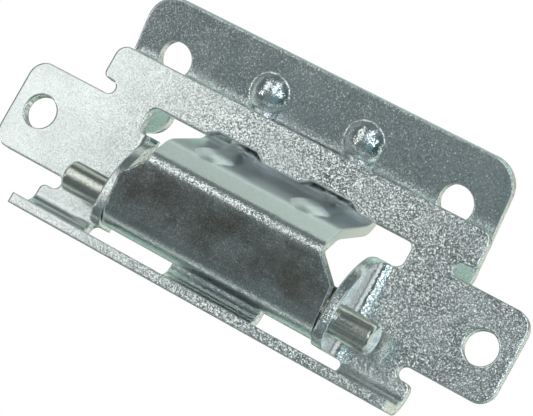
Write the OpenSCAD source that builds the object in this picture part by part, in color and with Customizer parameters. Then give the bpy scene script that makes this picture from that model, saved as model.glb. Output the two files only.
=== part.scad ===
// Appliance door hinge: a folded bracket with two screw ears and two pin lugs, a folded
// door leaf that passes through the bracket's window and curls round the pin, and the pin.
// Millimetres. The pin stands along Z, the bracket's back is in the plane Y = 0 and the
// front looks along -Y. The origin is midway between the ear holes on the bracket's back.

/* [Sheet and pin] */
// Thickness of the steel sheet of both folded pieces
sheet = 2.0; // [1.2:0.1:3]
// Diameter of the hinge pin
pin_d = 6.0; // [4:0.5:8]
// Length of the hinge pin
pin_length = 65.5; // [58:0.5:76]
// How far the pin's middle sits towards its longer free end
pin_offset = 0.8; // [0:0.1:2]
// Radial gap between the pin and the leaf's curl
running_clearance = 0.05; // [0.02:0.01:0.1]
// Distance of the pin's axis in front of the bracket's back
pin_forward = 7.2; // [6:0.1:9]
// Distance of the pin's axis from the line through the ear holes
pin_drop = 7.85; // [6:0.05:10]

/* [Bracket plate] */
// Spacing of the two ear holes
ear_hole_spacing = 95.0; // [80:0.5:110]
// Diameter of the ear holes
ear_hole_d = 6.4; // [4:0.1:7]
// Distance from an ear hole's centre to the ear's end
ear_end = 6.0; // [4.5:0.1:9]
// Height of the ears
ear_height = 17.6; // [14:0.1:22]
// Corner radius of the ears
ear_corner_r = 3.4; // [1:0.1:5]
// Length of the bar, of the lower tabs and of the flange
bar_length = 80.0; // [70:0.5:90]
// Height of the bar's top edge above the ear holes
bar_top = 18.35; // [15:0.05:22]
// Radius of the bar's top corners
bar_corner_r = 2.3; // [1:0.1:4]
// Radius of the tabs' corners beside the relief cuts
tab_corner_r = 1.2; // [0.5:0.1:2]
// Width of the relief cuts above and below each ear
relief_w = 2.6; // [1.5:0.1:4]
// Distance between the inner ends of opposite relief cuts
relief_span = 73.0; // [66:0.5:76]

/* [Bracket window] */
// How far the window's upper part reaches beyond each lug's outer face
window_side = 3.6; // [2.8:0.1:6]
// Height of the window's top edge above the ear holes
window_top = 10.6; // [8:0.1:13]
// Height of the step where the lugs begin
window_step = 5.4; // [3:0.1:8]
// Corner radius of the window
window_corner_r = 1.6; // [0.5:0.1:3]
// How far each lower slot reaches beyond the lug's outer face
slot_side = 2.7; // [2.6:0.1:5]
// Corner radius of the lower slots
slot_corner_r = 1.2; // [0.5:0.1:2]
// Width of the tongue between the two lower slots
tongue_w = 19.2; // [14:0.2:26]
// Height of the tongue's free end below the ear holes
tongue_top = 9.0; // [6:0.1:12]
// Depth of the two rib recesses in the window's top edge
recess_depth = 1.35; // [0.8:0.05:2.5]
// Width of each rib recess at its mouth
recess_mouth_w = 12.6; // [9:0.1:16]
// Width of each rib recess at its floor
recess_floor_w = 8.4; // [5:0.1:12]

/* [Bracket lugs and flange] */
// Distance over the outer faces of the two lugs
lug_span = 49.2; // [44:0.1:56]
// Distance of the lugs' lower edge below the pin's axis
lug_below = 5.7; // [4.5:0.1:8]
// Steel left in front of the pin in each lug
lug_wall = 1.2; // [0.8:0.1:3]
// Radius of the lugs' crowned front edge
lug_crown_r = 14.0; // [10:0.5:20]
// Radius of the lugs' lower front corner
lug_corner_r = 3.5; // [1:0.1:5]
// Inner radius of the lug bends
lug_bend_r = 2.5; // [1:0.1:4]
// Distance of the flange's outer face below the ear holes
flange_drop = 17.6; // [15:0.1:21]
// Depth of the flange from the bracket's back to its front edge
flange_depth = 10.5; // [8:0.1:14]
// Inner radius of the flange bend
flange_bend_r = 2.5; // [1:0.1:4]

/* [Door leaf] */
// Tilt of the leaf towards the bracket in its stop position
stop_tilt = 16.2; // [0:0.1:20]
// Spacing of the two door screw holes
door_hole_spacing = 60.5; // [50:0.5:70]
// Diameter of the door screw holes
door_hole_d = 6.8; // [4:0.1:8]
// Height of the door screw holes above the pin
door_hole_height = 24.8; // [22:0.1:30]
// Width of the door plate
door_plate_w = 77.6; // [65:0.2:90]
// Height of the door plate's top edge above the pin
door_plate_top = 35.4; // [32:0.1:42]
// Radius of the door plate's top corners
door_corner_r = 5.5; // [2:0.1:8]
// Distance of the door plate's front face behind the pin's axis
door_plate_back = 15.8; // [14:0.1:18]
// Height of the side legs' lower ends above the pin
leg_bottom = 9.8; // [8:0.1:14]
// Distance between the inner edges of the two side legs
leg_span = 53.2; // [46:0.2:60]
// Radius of the legs' lower corners
leg_corner_r = 4.5; // [1:0.1:5]
// Height of the notches beside the neck above the pin
notch_top = 21.0; // [18:0.1:22]

/* [Leaf neck and curl] */
// Width of the neck
neck_w = 36.4; // [30:0.2:42]
// Height of the neck's upper face above the pin
neck_height = 14.5; // [13:0.1:17]
// Inner radius of the bend between door plate and neck
neck_bend_r = 3.0; // [2:0.1:5]
// Angle by which the ramp leans down from the neck
ramp_angle = 28.0; // [15:1:40]
// Height above the pin where ramp and front face would meet in a sharp edge
brow_height = 11.5; // [10:0.1:13]
// Inner radius of the soft bend between neck and ramp
soft_bend_r = 4.0; // [1:0.1:6]
// Inner radius of the bend between ramp and front face
brow_bend_r = 0.7; // [0.4:0.1:3]
// Gap between each end of the curl and the lug beside it
end_play = 0.3; // [0.1:0.05:1]
// Angle through which the sheet wraps round the pin
curl_angle = 270; // [200:5:280]
// Height above the pin where the shoulders reach the full width
shoulder_low = 6.0; // [4:0.1:8]
// Height above the pin where the shoulders begin at the neck
shoulder_high = 10.4; // [9:0.1:13]

/* [Stiffening ribs] */
// Spacing of the two ribs
rib_spacing = 20.3; // [16:0.1:26]
// Width of a rib on the sheet's face
rib_w = 6.4; // [5:0.1:9]
// Height of a rib above the sheet's face
rib_h = 1.0; // [0.6:0.05:1.4]
// Width of the domes in which a rib ends
dome_w = 8.0; // [6:0.1:10]
// Height of the upper dome above the door plate's face
upper_dome_h = 2.0; // [1:0.05:2.4]
// Height of the lower dome above the neck's face
lower_dome_h = 1.3; // [0.8:0.05:1.4]
// Height of the upper domes' centres above the pin
upper_dome_height = 27.0; // [24:0.1:31]
// Distance of the lower domes' centres behind the pin
lower_dome_back = 4.2; // [3:0.1:8]

/* [Hidden] */
$fn = 64;
zinc = [0.72, 0.76, 0.77];
steel = [0.62, 0.61, 0.58];
pin_r = pin_d / 2;
curl_r = pin_r + running_clearance;
curl_outer_r = curl_r + sheet;
pin_edge_break = 0.5;
arc_steps = 6;
// margins by which cutting shapes overshoot what they cut
over = 1;
through = 40;
// the bracket, measured from the origin
ear_length = ear_hole_spacing + 2 * ear_end;
lug_x = lug_span / 2;
lug_line_x = lug_x + lug_bend_r;
lug_height = window_step + pin_drop + lug_below;
lug_reach = pin_forward + pin_r + lug_wall;
lug_crown_z = lug_reach - lug_crown_r;
window_x = lug_x + window_side;
slot_x = lug_x + slot_side;
slot_top_y = -pin_drop - lug_below;
flange_line_y = -flange_drop + sheet + flange_bend_r;
// the ribs and their domes are arcs on the sheet's face, sunk by their depth behind it
function cap_r(width, height) = (width * width / 4 + height * height) / (2 * height);
rib_r = cap_r(rib_w, rib_h);
upper_dome_r = cap_r(dome_w, upper_dome_h);
lower_dome_r = cap_r(dome_w, lower_dome_h);
rib_depth = rib_r - rib_h;
curl_w = lug_span - 2 * sheet - 2 * end_play;
// where the bends of the leaf's side profile begin and end, measured from the pin's axis
neck_bend_height = neck_height + neck_bend_r;
neck_bend_z = -door_plate_back + neck_bend_r;
brow_outer_r = brow_bend_r + sheet;
soft_outer_r = soft_bend_r + sheet;
brow_tangent = brow_outer_r * tan((90 - ramp_angle) / 2);
face_top = brow_height - brow_tangent;
ramp_foot_y = brow_height + brow_tangent * sin(ramp_angle);
ramp_foot_z = curl_outer_r - brow_tangent * cos(ramp_angle);
ramp_head_y = neck_height - soft_outer_r * (1 - cos(ramp_angle));
ramp_run = (ramp_head_y - ramp_foot_y) / sin(ramp_angle);
soft_start_z = ramp_foot_z - ramp_run * cos(ramp_angle) - soft_outer_r * sin(ramp_angle);

// Turns the plate frame (x along the pin, y across it, z to the front) into the row frame.
module stand_up() {
    rotate([90, 90, 0]) children();
}

// Extrudes a side profile, drawn as (y, z), along the pin by a width centred on x = 0.
module along_pin(width) {
    translate([-width / 2, 0, 0])
        rotate([90, 0, 90]) linear_extrude(width) children();
}

// Places its children twice, mirrored left and right.
module both_sides() {
    children();
    mirror([1, 0, 0]) children();
}

// The waste between a square corner and a fillet, with the corner at the origin.
module corner_waste(r) {
    difference() {
        translate([-over, -over]) square(r + over);
        translate([r, r]) circle(r);
    }
}

// The material that a fillet adds in an inside corner at the origin.
module corner_fill(r) {
    difference() {
        square(r);
        translate([r, r]) circle(r);
    }
}

// Half of the bracket plate's outline, x from 0 outwards.
module bracket_outline_half() {
    bar_x = bar_length / 2;
    ear_x = ear_length / 2;
    ear_y = ear_height / 2;
    relief_r = relief_w / 2;
    relief_x = relief_span / 2 + relief_r;
    difference() {
        union() {
            translate([0, flange_line_y]) square([bar_x, bar_top - flange_line_y]);
            translate([0, -ear_y]) square([ear_x, ear_height]);
        }
        translate([bar_x, bar_top]) rotate(180) corner_waste(bar_corner_r);
        translate([ear_x, ear_y]) rotate(180) corner_waste(ear_corner_r);
        translate([ear_x, -ear_y]) rotate(90) corner_waste(ear_corner_r);
        for (side = [-1, 1]) {
            translate([relief_x, side * (ear_y + relief_r)]) circle(relief_r);
            translate([relief_x, side * (ear_y + relief_r) - relief_r]) square([ear_x, relief_w]);
        }
        translate([bar_x, ear_y + relief_w]) rotate(90) corner_waste(tab_corner_r);
        translate([bar_x, -ear_y - relief_w]) rotate(180) corner_waste(tab_corner_r);
        translate([ear_hole_spacing / 2, 0]) circle(ear_hole_d / 2);
    }
}

// Half of the window, with the rib recess above, the lug's blank inside and the slot below.
module window_half() {
    recess_x = rib_spacing / 2;
    half_tongue = tongue_w / 2;
    difference() {
        union() {
            translate([-over, window_step]) square([window_x + over, window_top - window_step]);
            translate([-over, -tongue_top])
                square([lug_line_x + over, tongue_top + window_step + over]);
            translate([half_tongue, -flange_drop - over])
                square([lug_line_x - half_tongue, flange_drop + over]);
            translate([half_tongue, -flange_drop - over])
                square([slot_x - half_tongue, slot_top_y + flange_drop + over]);
            polygon([
                [recess_x - recess_mouth_w / 2, window_step],
                [recess_x - recess_mouth_w / 2, window_top],
                [recess_x - recess_floor_w / 2, window_top + recess_depth],
                [recess_x + recess_floor_w / 2, window_top + recess_depth],
                [recess_x + recess_mouth_w / 2, window_top],
                [recess_x + recess_mouth_w / 2, window_step]
            ]);
        }
        translate([window_x, window_top]) rotate(180) corner_fill(window_corner_r);
        translate([window_x, window_step]) rotate(90) corner_fill(window_corner_r);
        translate([slot_x, slot_top_y]) rotate(180) corner_fill(slot_corner_r);
    }
}

// Side outline of a lug and its bend in (y, z): a crowned front and a round lower corner.
module lug_outline() {
    corner_y = slot_top_y + lug_corner_r;
    corner_z = lug_crown_z
        + sqrt(pow(lug_crown_r - lug_corner_r, 2) - pow(lug_below - lug_corner_r, 2));
    // the corner's arc runs into the crown here, without a step
    meet_y = -pin_drop - lug_crown_r * (lug_below - lug_corner_r) / (lug_crown_r - lug_corner_r);
    intersection() {
        translate([meet_y, 0]) square([window_step - meet_y, lug_reach]);
        translate([-pin_drop, lug_crown_z]) circle(lug_crown_r);
    }
    translate([corner_y, corner_z]) circle(lug_corner_r);
    translate([slot_top_y, 0]) square([lug_corner_r, corner_z]);
}

// One pin lug on the side of positive x: a bend of 90 degrees and the flat lug.
module lug() {
    difference() {
        intersection() {
            union() {
                translate([lug_line_x, slot_top_y, sheet + lug_bend_r])
                    rotate([-90, 0, 0]) rotate(90) rotate_extrude(angle = 90)
                        translate([lug_bend_r, 0]) square([sheet, lug_height]);
                translate([lug_x - sheet, slot_top_y, sheet + lug_bend_r])
                    cube([sheet, lug_height, lug_reach]);
            }
            along_pin(2 * bar_length) lug_outline();
        }
        translate([0, -pin_drop, pin_forward]) rotate([0, 90, 0]) cylinder(r = pin_r, h = bar_length);
    }
}

// The stiffening flange along the lower edge, with its bend of 90 degrees.
module flange() {
    translate([-bar_length / 2, flange_line_y, sheet + flange_bend_r])
        rotate([0, 90, 0])
            rotate_extrude(angle = -90) translate([flange_bend_r, 0]) square([sheet, bar_length]);
    translate([-bar_length / 2, -flange_drop, sheet + flange_bend_r])
        cube([bar_length, sheet, flange_depth - sheet - flange_bend_r]);
}

module bracket() {
    color(zinc) stand_up() {
        difference() {
            union() {
                linear_extrude(sheet) both_sides() bracket_outline_half();
                flange();
            }
            translate([0, 0, -over]) linear_extrude(sheet + flange_bend_r + over)
                both_sides() window_half();
        }
        both_sides() lug();
    }
}

// Moves the leaf frame, centred on the pin, into the bracket's plate frame at the stop.
module at_stop() {
    translate([0, -pin_drop, pin_forward]) rotate([stop_tilt, 0, 0]) children();
}

// Half of the door plate's outline, with a side leg and the notch beside the neck.
module door_plate_half() {
    edge_x = door_plate_w / 2;
    notch_r = (leg_span - neck_w) / 4;
    notch_x = neck_w / 2 + notch_r;
    difference() {
        translate([0, leg_bottom]) square([edge_x, door_plate_top - leg_bottom]);
        translate([-over, leg_bottom - over])
            square([notch_x + over, neck_bend_height - leg_bottom + over]);
        translate([neck_w / 2, leg_bottom - over])
            square([2 * notch_r, notch_top - notch_r - leg_bottom + over]);
        translate([notch_x, notch_top - notch_r]) circle(notch_r);
        translate([edge_x, door_plate_top]) rotate(180) corner_waste(door_corner_r);
        translate([edge_x, leg_bottom]) rotate(90) corner_waste(leg_corner_r);
        translate([leg_span / 2, leg_bottom]) corner_waste(leg_corner_r);
        translate([door_hole_spacing / 2, door_hole_height]) circle(door_hole_d / 2);
    }
}

// Points of an arc about (y, z), from one angle to another; 0 points along y, 90 along z.
function arc_points(y, z, r, from, to) = [
    for (k = [0 : arc_steps])
        let (a = from + (to - from) * k / arc_steps) [y + r * cos(a), z + r * sin(a)]
];

// Side profile in (y, z) of the neck, the ramp and the front face down to the pin's height.
module neck_profile() {
    soft_y = neck_height - soft_outer_r;
    brow_z = curl_outer_r - brow_outer_r;
    polygon(concat(
        [[neck_height, neck_bend_z]],
        arc_points(soft_y, soft_start_z, soft_outer_r, 0, ramp_angle),
        arc_points(face_top, brow_z, brow_outer_r, ramp_angle, 90),
        [[0, curl_outer_r], [0, curl_r]],
        arc_points(face_top, brow_z, brow_bend_r, 90, ramp_angle),
        arc_points(soft_y, soft_start_z, soft_bend_r, ramp_angle, 0),
        [[neck_height - sheet, neck_bend_z]]
    ));
}

// Bend, neck, ramp, front face and curl as one strip, cut to the shouldered outline.
module neck_and_curl() {
    half_neck = neck_w / 2;
    half_curl = curl_w / 2;
    intersection() {
        union() {
            translate([-half_curl, neck_bend_height, neck_bend_z]) rotate([90, 0, 90]) rotate(180)
                rotate_extrude(angle = 90) translate([neck_bend_r, 0]) square([sheet, curl_w]);
            along_pin(curl_w) neck_profile();
            translate([-half_curl, 0, 0]) rotate([90, 0, 90]) rotate(90)
                rotate_extrude(angle = curl_angle) translate([curl_r, 0]) square([sheet, curl_w]);
        }
        translate([0, 0, -through / 2]) linear_extrude(through) polygon([
            [-half_curl - over, -curl_outer_r - over],
            [half_curl + over, -curl_outer_r - over],
            [half_curl + over, shoulder_low],
            [half_curl, shoulder_low],
            [half_neck, shoulder_high],
            [half_neck, neck_bend_height + over],
            [-half_neck, neck_bend_height + over],
            [-half_neck, shoulder_high],
            [-half_curl, shoulder_low],
            [-half_curl - over, shoulder_low]
        ]);
    }
}

// The rounded bar that a rib follows, drawn smaller by inset: an upper dome, down the door
// plate, round the bend, along the neck and a lower dome.
module rib_bar(inset) {
    r = rib_r - inset;
    plate_z = -door_plate_back - rib_depth;
    neck_y = neck_height - rib_depth;
    upper_z = -door_plate_back - upper_dome_r + upper_dome_h;
    lower_y = neck_height - lower_dome_r + lower_dome_h;
    translate([0, upper_dome_height, upper_z]) sphere(upper_dome_r - inset);
    translate([0, neck_bend_height, plate_z])
        rotate([-90, 0, 0]) cylinder(r = r, h = upper_dome_height - neck_bend_height);
    translate([0, neck_bend_height, neck_bend_z]) rotate([90, 0, 90]) rotate(180)
        rotate_extrude(angle = 90) translate([neck_bend_r + rib_depth, 0]) circle(r);
    translate([0, neck_y, neck_bend_z]) cylinder(r = r, h = -lower_dome_back - neck_bend_z);
    translate([0, lower_y, -lower_dome_back]) sphere(lower_dome_r - inset);
}

// Everything in front of the sheet's back, over the door plate, the bend, neck and ramp.
module rib_zone() {
    outer_r = neck_bend_r + sheet;
    zone_top = neck_bend_height + rib_w;
    along_pin(rib_spacing + 2 * rib_w) union() {
        translate([neck_bend_height, neck_bend_z]) circle(outer_r);
        translate([neck_bend_height, -door_plate_back - sheet]) square([through / 2, outer_r + rib_w]);
        polygon(concat(
            [[zone_top, neck_bend_z], [neck_height - sheet, neck_bend_z]],
            arc_points(neck_height - soft_outer_r, soft_start_z, soft_bend_r, 0, ramp_angle),
            [[ramp_foot_y - sheet * cos(ramp_angle), ramp_foot_z - sheet * sin(ramp_angle)]],
            [[zone_top, ramp_foot_z - sheet * sin(ramp_angle)]]
        ));
    }
}

module door_leaf() {
    color(zinc) stand_up() at_stop() {
        difference() {
            union() {
                translate([0, 0, -door_plate_back - sheet])
                    linear_extrude(sheet) both_sides() door_plate_half();
                neck_and_curl();
            }
            intersection() {
                rib_zone();
                both_sides() translate([rib_spacing / 2, 0, 0]) rib_bar(0);
            }
        }
        intersection() {
            rib_zone();
            both_sides() translate([rib_spacing / 2, 0, 0]) difference() {
                rib_bar(0);
                rib_bar(sheet);
            }
        }
    }
}

module hinge_pin() {
    half = pin_length / 2;
    color(steel) stand_up()
        translate([-pin_offset, -pin_drop, pin_forward]) rotate([0, 90, 0])
            rotate_extrude() polygon([
                [0, -half],
                [pin_r - pin_edge_break, -half],
                [pin_r, -half + pin_edge_break],
                [pin_r, half - pin_edge_break],
                [pin_r - pin_edge_break, half],
                [0, half]
            ]);
}

bracket();
door_leaf();
hinge_pin();
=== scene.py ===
import math

import bmesh
import bpy
from mathutils import Matrix, Vector
from mathutils.bvhtree import BVHTree


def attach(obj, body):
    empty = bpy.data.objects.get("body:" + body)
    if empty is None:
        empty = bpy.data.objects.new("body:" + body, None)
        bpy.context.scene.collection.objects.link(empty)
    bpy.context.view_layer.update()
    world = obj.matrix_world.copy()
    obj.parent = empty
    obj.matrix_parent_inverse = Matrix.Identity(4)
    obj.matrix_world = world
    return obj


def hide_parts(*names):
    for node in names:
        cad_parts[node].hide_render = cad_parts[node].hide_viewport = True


# The hinge stands as it does beside an open door: the pin along Z, the bracket's back in
# Y = 0, the front towards -Y and the door plate on the +X side. Lengths are in metres.
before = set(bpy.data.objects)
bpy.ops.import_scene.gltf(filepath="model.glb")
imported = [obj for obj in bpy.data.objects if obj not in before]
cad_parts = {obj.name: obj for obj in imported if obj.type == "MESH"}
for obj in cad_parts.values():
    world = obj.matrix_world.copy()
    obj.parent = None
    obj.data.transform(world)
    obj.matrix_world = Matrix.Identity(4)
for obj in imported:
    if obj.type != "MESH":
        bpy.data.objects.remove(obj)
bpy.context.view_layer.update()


# --- Camera -------------------------------------------------------------------------------
# A long lens slightly below the hinge, rolled so that the pin runs from upper left to lower
# right. The columns are the camera's right, up and backward directions.
camera = bpy.data.objects.new("camera", bpy.data.cameras.new("camera"))
camera.data.sensor_width = 36
camera.data.lens = 150.5
right = Vector((0.48878, 0.27734, -0.82713))
up = Vector((0.87025, -0.22135, 0.44005))
backward = right.cross(up)
camera.matrix_world = Matrix((right, up, backward)).transposed().to_4x4()
camera.location = (-0.02034, -0.37332, -0.13977)
bpy.context.collection.objects.link(camera)
bpy.context.scene.camera = camera
bpy.context.scene.view_settings.view_transform = "Standard"


# --- Studio -------------------------------------------------------------------------------
# A pale floor far below, and no lamps: the bare steel mirrors a room of soft-edged ovals,
# bright windows and dark corners, while the camera and the floor see plain white all round.
def node(tree, kind, place=(0, 0), **settings):
    """A new shader node at a place in its tree."""
    made = tree.nodes.new(kind)
    made.location = place
    for name, value in settings.items():
        setattr(made, name, value)
    return made


def between(tree, start, end, low=0, high=1, place=(0, 0), **settings):
    """A Map Range node that runs from low at start to high at end."""
    made = node(tree, "ShaderNodeMapRange", place, **settings)
    limits = {"From Min": start, "From Max": end, "To Min": low, "To Max": high}
    for socket, value in limits.items():
        made.inputs[socket].default_value = value
    return made


def ramp_node(tree, stops, place=(0, 0)):
    """A colour ramp through the given positions and colours."""
    made = node(tree, "ShaderNodeValToRGB", place)
    elements = made.color_ramp.elements
    while len(elements) < len(stops):
        elements.new(0.5)
    for element, (position, colour) in zip(elements, stops):
        element.position = position
        element.color = (*colour, 1)
    return made


def multiply(tree, place=(0, 0)):
    """A mix node that multiplies colour A by colour B."""
    return node(tree, "ShaderNodeMix", place, data_type="RGBA", blend_type="MULTIPLY")


def join(tree, *pairs):
    """Link each source socket to its target socket."""
    for source, target in pairs:
        tree.links.new(source, target)


world = bpy.data.worlds.new("studio")
bpy.context.scene.world = world
world.use_nodes = True
room = world.node_tree
room.nodes.clear()
direction = node(room, "ShaderNodeTexCoord")
axes = node(room, "ShaderNodeSeparateXYZ")

# The walls change tone along Y, from the camera's side (0) to behind the hinge (1).
depth = between(room, -1, 1)
walls = ramp_node(room, [
    (0.0, (0.10, 0.125, 0.125)),
    (0.35, (0.10, 0.125, 0.125)),
    (0.50, (0.48, 0.54, 0.50)),
    (0.70, (0.46, 0.60, 0.52)),
    (0.905, (0.38, 0.52, 0.44)),
    (0.955, (0.10, 0.11, 0.08)),
    (1.0, (0.07, 0.075, 0.05)),
])

# Light and dark clutter breaks up the lower part of the room.
clutter = node(room, "ShaderNodeTexNoise")
clutter.inputs["Scale"].default_value = 11
clutter.inputs["Detail"].default_value = 3
clutter_tone = between(room, 0.43, 0.57, low=0.15, high=2.6)
clutter_height = between(room, 0.38, 0.30)
cluttered = node(room, "ShaderNodeMix", data_type="RGBA")
cluttered.inputs["A"].default_value = (1, 1, 1, 1)
broken_up = multiply(room)
broken_up.inputs["Factor"].default_value = 1
join(
    room,
    (direction.outputs["Generated"], axes.inputs["Vector"]),
    (axes.outputs["Y"], depth.inputs["Value"]),
    (depth.outputs["Result"], walls.inputs["Fac"]),
    (direction.outputs["Generated"], clutter.inputs["Vector"]),
    (clutter.outputs["Fac"], clutter_tone.inputs["Value"]),
    (axes.outputs["Z"], clutter_height.inputs["Value"]),
    (clutter_height.outputs["Result"], cluttered.inputs["Factor"]),
    (clutter_tone.outputs["Result"], cluttered.inputs["B"]),
)


def oval(below, colour, centre, half_sizes, full_to, gone_at):
    """Lay an oval of colour over the room round one direction, full inside and soft outside."""
    away = node(room, "ShaderNodeVectorMath", operation="SUBTRACT")
    away.inputs[1].default_value = centre
    scaled = node(room, "ShaderNodeVectorMath", operation="DIVIDE")
    scaled.inputs[1].default_value = half_sizes
    far = node(room, "ShaderNodeVectorMath", operation="LENGTH")
    edge = between(room, gone_at, full_to, interpolation_type="SMOOTHSTEP")
    laid = node(room, "ShaderNodeMix", data_type="RGBA")
    laid.inputs["B"].default_value = (*colour, 1)
    join(
        room,
        (direction.outputs["Generated"], away.inputs[0]),
        (away.outputs["Vector"], scaled.inputs[0]),
        (scaled.outputs["Vector"], far.inputs[0]),
        (far.outputs["Value"], edge.inputs["Value"]),
        (edge.outputs["Result"], laid.inputs["Factor"]),
        (below, laid.inputs["A"]),
    )
    return laid.outputs["Result"]


reflected = walls.outputs["Color"]
for oval_of_room in (
    # the window above the camera, which lights the bracket's front
    ((1.12, 1.17, 1.13), (0.22, -0.85, 0.52), (0.46, 0.5, 0.155), 0.5, 1.4),
    # the cool dark below the camera
    ((0.11, 0.20, 0.22), (-0.1, -0.93, -0.36), (0.5, 0.5, 0.30), 0.7, 1.25),
    # the second window, level with the hinge and to its right
    ((1.05, 1.13, 1.16), (0.35, -0.92, -0.10), (0.42, 0.5, 0.16), 0.8, 1.3),
    # the black corner straight below
    ((0.03, 0.07, 0.07), (0.0, -0.4, -0.95), (0.8, 0.45, 0.42), 0.7, 1.3),
    # the grey wall low down behind the hinge
    ((0.42, 0.45, 0.39), (0.1, 0.93, -0.45), (0.5, 0.5, 0.45), 0.8, 1.5),
    # the skylight overhead
    ((0.9, 0.93, 0.9), (0.4, 0.25, 0.88), (0.25, 0.3, 0.3), 0.6, 1.3),
):
    reflected = oval(reflected, *oval_of_room)
join(
    room,
    (reflected, broken_up.inputs["A"]),
    (cluttered.outputs["Result"], broken_up.inputs["B"]),
)
reflected = broken_up.outputs["Result"]
for spot in (
    # two small bright spots, which sparkle on the domes and the bends
    ((5.0, 5.1, 5.0), (-0.33, -0.66, 0.68), (0.08, 0.1, 0.08), 0.5, 1.3),
    ((3.6, 3.8, 3.8), (0.10, -0.80, -0.59), (0.13, 0.14, 0.12), 0.5, 1.3),
):
    reflected = oval(reflected, *spot)

mirrored = node(room, "ShaderNodeBackground")
plain_white = node(room, "ShaderNodeBackground")
plain_white.inputs["Color"].default_value = (1, 1, 1, 1)
rays = node(room, "ShaderNodeLightPath")
sees_white = node(room, "ShaderNodeMath", operation="MAXIMUM")
choose = node(room, "ShaderNodeMixShader")
output = node(room, "ShaderNodeOutputWorld")
join(
    room,
    (reflected, mirrored.inputs["Color"]),
    (rays.outputs["Is Camera Ray"], sees_white.inputs[0]),
    (rays.outputs["Is Diffuse Ray"], sees_white.inputs[1]),
    (sees_white.outputs["Value"], choose.inputs["Fac"]),
    (mirrored.outputs["Background"], choose.inputs[1]),
    (plain_white.outputs["Background"], choose.inputs[2]),
    (choose.outputs["Shader"], output.inputs["Surface"]),
)

# The floor is small and far below, so that little of it shows in the steel.
floor_level = -1.5
floor_half = 0.5
floor_mesh = bpy.data.meshes.new("floor")
floor_mesh.from_pydata(
    [
        (x * floor_half, y * floor_half, floor_level)
        for x, y in ((-1, -1), (1, -1), (1, 1), (-1, 1))
    ],
    [], [(0, 1, 2, 3)],
)
floor = bpy.data.objects.new("floor", floor_mesh)
bpy.context.collection.objects.link(floor)
floor_paint = bpy.data.materials.new("floor_paint")
floor_paint.use_nodes = True
floor_shader = floor_paint.node_tree.nodes["Principled BSDF"]
floor_shader.inputs["Base Color"].default_value = (0.86, 0.86, 0.85, 1)
floor_shader.inputs["Roughness"].default_value = 0.9
floor_mesh.materials.append(floor_paint)


# --- Bracket ------------------------------------------------------------------------------
# One piece of 2 mm steel, punched and folded, then zinc plated. Punching from the front
# leaves its front edges rolled over and its cut walls rougher than the faces.
sheet = 0.002
rolled_edge = 0.00050
burred_edge = 0.00042
foot_edge = 0.0007
smooth_from = 0.035
coarse_from = -0.02


def zinc_group():
    """Fine zinc crystals: each grain is a little facet with its own tilt and tone."""
    tree = bpy.data.node_groups.new("zinc_grain", "ShaderNodeTree")
    for name, kind, way in (
        ("Vector", "NodeSocketVector", "INPUT"),
        ("Normal", "NodeSocketVector", "INPUT"),
        ("Grains per metre", "NodeSocketFloat", "INPUT"),
        ("Tilt", "NodeSocketFloat", "INPUT"),
        ("Light", "NodeSocketColor", "INPUT"),
        ("Dark", "NodeSocketColor", "INPUT"),
        ("Colour", "NodeSocketColor", "OUTPUT"),
        ("Roughness", "NodeSocketFloat", "OUTPUT"),
        ("Normal", "NodeSocketVector", "OUTPUT"),
    ):
        tree.interface.new_socket(name, in_out=way, socket_type=kind)
    given = node(tree, "NodeGroupInput")
    put = node(tree, "NodeGroupOutput", (1200, 0))
    grains = node(tree, "ShaderNodeTexVoronoi", (200, 100))
    centred = node(tree, "ShaderNodeVectorMath", (400, 100), operation="SUBTRACT")
    centred.inputs[1].default_value = (0.5, 0.5, 0.5)
    tilted = node(tree, "ShaderNodeVectorMath", (600, 100), operation="SCALE")
    turned = node(tree, "ShaderNodeVectorMath", (800, 100), operation="ADD")
    unit = node(tree, "ShaderNodeVectorMath", (1000, 100), operation="NORMALIZE")
    parts = node(tree, "ShaderNodeSeparateColor", (400, -100))
    tone = node(tree, "ShaderNodeMix", (800, -100), data_type="RGBA")
    cloud = node(tree, "ShaderNodeTexNoise", (200, -300))
    cloud.inputs["Scale"].default_value = 110
    cloud.inputs["Detail"].default_value = 5
    dull = between(tree, 0.3, 0.7, low=0.13, high=0.24, place=(600, -300))
    join(
        tree,
        (given.outputs["Vector"], grains.inputs["Vector"]),
        (given.outputs["Vector"], cloud.inputs["Vector"]),
        (given.outputs["Grains per metre"], grains.inputs["Scale"]),
        (grains.outputs["Color"], centred.inputs[0]),
        (centred.outputs["Vector"], tilted.inputs[0]),
        (given.outputs["Tilt"], tilted.inputs["Scale"]),
        (tilted.outputs["Vector"], turned.inputs[0]),
        (given.outputs["Normal"], turned.inputs[1]),
        (turned.outputs["Vector"], unit.inputs[0]),
        (unit.outputs["Vector"], put.inputs["Normal"]),
        (grains.outputs["Color"], parts.inputs["Color"]),
        (parts.outputs["Red"], tone.inputs["Factor"]),
        (given.outputs["Dark"], tone.inputs["A"]),
        (given.outputs["Light"], tone.inputs["B"]),
        (tone.outputs["Result"], put.inputs["Colour"]),
        (cloud.outputs["Fac"], dull.inputs["Value"]),
        (dull.outputs["Result"], put.inputs["Roughness"]),
    )
    return tree


zinc = zinc_group()


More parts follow.
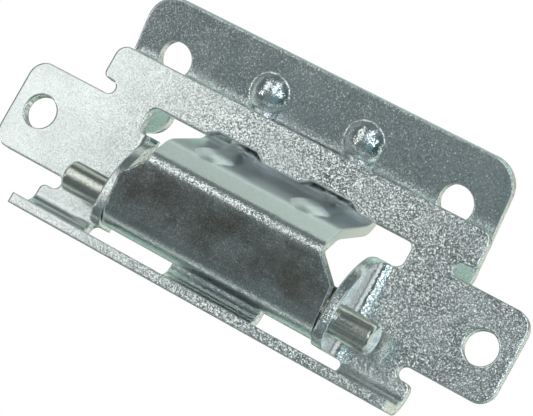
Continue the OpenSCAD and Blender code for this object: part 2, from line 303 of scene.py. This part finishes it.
def plated(name, grains, tilts, light, dark):
    """Plated steel: grains per metre, their tilt at the smooth and coarse ends, two tones."""
    material = bpy.data.materials.new(name)
    material.use_nodes = True
    tree = material.node_tree
    shader = tree.nodes["Principled BSDF"]
    shader.inputs["Metallic"].default_value = 1
    place = node(tree, "ShaderNodeTexCoord", (-800, 0), name="place on the piece")
    along = node(tree, "ShaderNodeSeparateXYZ", (-800, 300))
    tilt = between(tree, smooth_from, coarse_from, *tilts, place=(-650, 300))
    softened = node(tree, "ShaderNodeBevel", (-800, -300), samples=8)
    softened.inputs["Radius"].default_value = 0.0006
    grain = node(tree, "ShaderNodeGroup", (-500, 0), name="zinc grain", node_tree=zinc)
    grain.inputs["Grains per metre"].default_value = grains
    grain.inputs["Light"].default_value = (*light, 1)
    grain.inputs["Dark"].default_value = (*dark, 1)
    join(
        tree,
        (place.outputs["Object"], grain.inputs["Vector"]),
        (place.outputs["Object"], along.inputs["Vector"]),
        (along.outputs["Z"], tilt.inputs["Value"]),
        (tilt.outputs["Result"], grain.inputs["Tilt"]),
        (softened.outputs["Normal"], grain.inputs["Normal"]),
        (grain.outputs["Colour"], shader.inputs["Base Color"]),
        (grain.outputs["Roughness"], shader.inputs["Roughness"]),
        (grain.outputs["Normal"], shader.inputs["Normal"]),
    )
    return material


face_zinc = plated("face_zinc", 5600, (0.04, 0.20), (0.95, 0.98, 0.99), (0.86, 0.89, 0.90))
cut_zinc = plated("cut_zinc", 3600, (0.16, 0.22), (0.84, 0.86, 0.81), (0.54, 0.56, 0.51))


def whole_copy(cad, name):
    """A copy of a CAD mesh, and the same shape joined up with one face for each flat."""
    mesh = cad.data.copy()
    mesh.name = name
    bm = bmesh.new()
    bm.from_mesh(mesh)
    bmesh.ops.remove_doubles(bm, verts=bm.verts, dist=1e-6)
    bmesh.ops.dissolve_limit(
        bm, angle_limit=math.radians(0.5), verts=bm.verts, edges=bm.edges
    )
    return mesh, bm


def mark_walls(bm):
    """Mark as a wall each face that has no opposite face one sheet behind it."""
    wall = bm.faces.layers.int.new("wall")
    behind = BVHTree.FromBMesh(bm)
    widest = {}
    for corners in bm.calc_loop_triangles():
        a, b, c = (corner.vert.co for corner in corners)
        area = (b - a).cross(c - a).length
        if area > widest.get(corners[0].face, (0,))[0]:
            widest[corners[0].face] = (area, (a + b + c) / 3)
    for face, (_, middle) in widest.items():
        inward = -face.normal
        found, _, _, deep = behind.ray_cast(middle + inward * 1e-5, inward, 0.02)
        face[wall] = 0 if found is not None and deep < sheet * 1.25 else 1
    return wall


def front_side(bm, wall, starts_front):
    """The faces of the punched side, found by walking over the bends from its flat faces."""
    steepest_bend = math.radians(35)
    front = set()
    ahead = [face for face in bm.faces if not face[wall] and starts_front(face)]
    while ahead:
        face = ahead.pop()
        if face in front:
            continue
        front.add(face)
        for edge in face.edges:
            if len(edge.link_faces) == 2 and edge.calc_face_angle(9) <= steepest_bend:
                ahead += [
                    near for near in edge.link_faces if not near[wall] and near not in front
                ]
    return front


def punched(name, cad, skin, starts_front):
    """A copy of a folded CAD piece with rolled front edges, burred back edges, cut walls."""
    mesh, bm = whole_copy(cad, name)
    wall = mark_walls(bm)
    front = front_side(bm, wall, starts_front)
    rolled, burred, feet = [], [], []
    for edge in bm.edges:
        if len(edge.link_faces) != 2 or edge.calc_face_angle(0) < math.radians(40):
            continue
        one, other = edge.link_faces
        if one[wall] != other[wall]:
            outer = other if one[wall] else one
            (rolled if outer in front else burred).append(edge)
        elif one in front and other in front:
            feet.append(edge)
    for face in bm.faces:
        face.material_index = face[wall]
        face.smooth = True
    for edges, width in ((rolled, rolled_edge), (burred, burred_edge), (feet, foot_edge)):
        bmesh.ops.bevel(
            bm, geom=[edge for edge in edges if edge.is_valid], offset=width,
            offset_type="OFFSET", segments=3, profile=0.5, affect="EDGES",
            clamp_overlap=True, loop_slide=False, material=0,
        )
    bm.to_mesh(mesh)
    bm.free()
    mesh.materials.clear()
    mesh.materials.append(skin)
    mesh.materials.append(cut_zinc)
    mesh.set_sharp_from_angle(angle=math.radians(32))
    made = bpy.data.objects.new(name, mesh)
    bpy.context.collection.objects.link(made)
    even_faces = made.modifiers.new("even_faces", "WEIGHTED_NORMAL")
    even_faces.keep_sharp = True
    even_faces.weight = 100
    return made


def on_bar_front(face):
    """Whether a face of the bracket lies in the bar's front plane."""
    return face.normal.y < -0.99 and abs(face.calc_center_median().y + sheet) < 1e-5


bracket = punched("bracket_plated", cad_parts["bracket"], face_zinc, on_bar_front)
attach(bracket, "panel_side")
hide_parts("bracket")


# --- Hinge pin ----------------------------------------------------------------------------
# A plain drawn steel pin with broken edges, pressed through both lugs. Drawing leaves it
# smoother than the plated sheet.
broken_edge = 0.00022
pin_steel = plated("pin_steel", 5200, (0.05, 0.05), (0.86, 0.86, 0.81), (0.78, 0.77, 0.72))
pin_mesh, pin_shape = whole_copy(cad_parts["hinge_pin"], "drawn_pin")
rims = [edge for edge in pin_shape.edges if edge.calc_face_angle(0) > math.radians(30)]
bmesh.ops.bevel(
    pin_shape, geom=rims, offset=broken_edge, offset_type="OFFSET", segments=3,
    profile=0.5, affect="EDGES",
)
for face in pin_shape.faces:
    face.smooth = True
pin_shape.to_mesh(pin_mesh)
pin_shape.free()
pin_mesh.materials.clear()
pin_mesh.materials.append(pin_steel)
pin = bpy.data.objects.new("drawn_pin", pin_mesh)
bpy.context.collection.objects.link(pin)
pin.modifiers.new("even_faces", "WEIGHTED_NORMAL").weight = 100
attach(pin, "panel_side")
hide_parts("hinge_pin")


# --- Door leaf ----------------------------------------------------------------------------
# One piece of the same sheet: the door plate, the goose neck through the window with two
# pressed ribs, and the curl that turns on the pin. Painted shade darkens the curl's front, for
# the dark room that it mirrors.
leaf_reach = 0.014
neck_half = 0.0200
plate_tilt = math.radians(16.2)
plate_from = 0.012


def leaf_finish_and_painted_shade():
    """The same plating, burnished smooth in the neck, with painted shade darkening the curl's
    front.
    """
    material = plated("leaf_zinc", 5600, (0.15, 0.22), (0.95, 0.98, 0.99), (0.86, 0.89, 0.90))
    tree = material.node_tree
    shader = tree.nodes["Principled BSDF"]
    grain = tree.nodes["zinc grain"]
    place = tree.nodes["place on the piece"].outputs["Object"]
    axes = node(tree, "ShaderNodeSeparateXYZ", (-650, -500))
    height = between(tree, -leaf_reach, leaf_reach, place=(-600, -650))

    # The neck takes up the upper part of this reach, and only the width between its sides.
    neck = ramp_node(tree, [
        (0.0, (0.0, 0.0, 0.0)),
        (0.56, (0.0, 0.0, 0.0)),
        (0.64, (1.0, 1.0, 1.0)),
        (0.86, (1.0, 1.0, 1.0)),
        (0.97, (0.0, 0.0, 0.0)),
    ], (-450, -500))
    aside = node(tree, "ShaderNodeMath", (-450, -350), operation="ABSOLUTE")
    within = between(tree, neck_half, neck_half - 0.0014, place=(-350, -350))
    burnished = node(tree, "ShaderNodeMath", (-300, -400), operation="MULTIPLY")
    calm = node(tree, "ShaderNodeMix", (-250, -500))
    calm.inputs["B"].default_value = 0.02
    plate_tilts = grain.inputs["Tilt"].links[0].from_socket
    soft = node(tree, "ShaderNodeMix", (-250, -650))
    soft.inputs["B"].default_value = 0.36

    # Painted shade: the curl's front, low in the same reach, is darkened in clouds, for the
    # dark room that it mirrors.
    painted_shade_band = ramp_node(tree, [
        (0.10, (0.0, 0.0, 0.0)),
        (0.20, (1.0, 1.0, 1.0)),
        (0.48, (1.0, 1.0, 1.0)),
        (0.54, (0.0, 0.0, 0.0)),
    ], (-450, -800))
    cloud = node(tree, "ShaderNodeTexNoise", (-650, -1000))
    cloud.inputs["Scale"].default_value = 170
    cloud.inputs["Detail"].default_value = 4
    # painted shade tones that darken the curl's front in clouds
    painted_shade_tone = ramp_node(tree, [
        (0.36, (0.44, 0.39, 0.36)),
        (0.62, (0.68, 0.66, 0.66)),
    ], (-450, -1000))
    shade = multiply(tree, (-200, -300))
    join(
        tree,
        (place, axes.inputs["Vector"]),
        (axes.outputs["X"], height.inputs["Value"]),
        (height.outputs["Result"], neck.inputs["Fac"]),
        (axes.outputs["Z"], aside.inputs[0]),
        (aside.outputs["Value"], within.inputs["Value"]),
        (within.outputs["Result"], burnished.inputs[0]),
        (neck.outputs["Color"], burnished.inputs[1]),
        (burnished.outputs["Value"], calm.inputs["Factor"]),
        (plate_tilts, calm.inputs["A"]),
        (calm.outputs["Result"], grain.inputs["Tilt"]),
        (burnished.outputs["Value"], soft.inputs["Factor"]),
        (grain.outputs["Roughness"], soft.inputs["A"]),
        (soft.outputs["Result"], shader.inputs["Roughness"]),
        (height.outputs["Result"], painted_shade_band.inputs["Fac"]),
        (painted_shade_band.outputs["Color"], shade.inputs["Factor"]),
        (grain.outputs["Colour"], shade.inputs["A"]),
        (place, cloud.inputs["Vector"]),
        (cloud.outputs["Fac"], painted_shade_tone.inputs["Fac"]),
        (painted_shade_tone.outputs["Color"], shade.inputs["B"]),
        (shade.outputs["Result"], shader.inputs["Base Color"]),
    )
    return material


def on_plate_front(face):
    """Whether a face of the leaf lies on the front of the door plate."""
    forward = Vector((-math.sin(plate_tilt), -math.cos(plate_tilt), 0))
    return face.normal.dot(forward) > 0.999 and face.calc_center_median().x > plate_from


leaf = punched(
    "door_leaf_plated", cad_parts["door_leaf"], leaf_finish_and_painted_shade(), on_plate_front
)
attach(leaf, "door_side")
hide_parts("door_leaf")
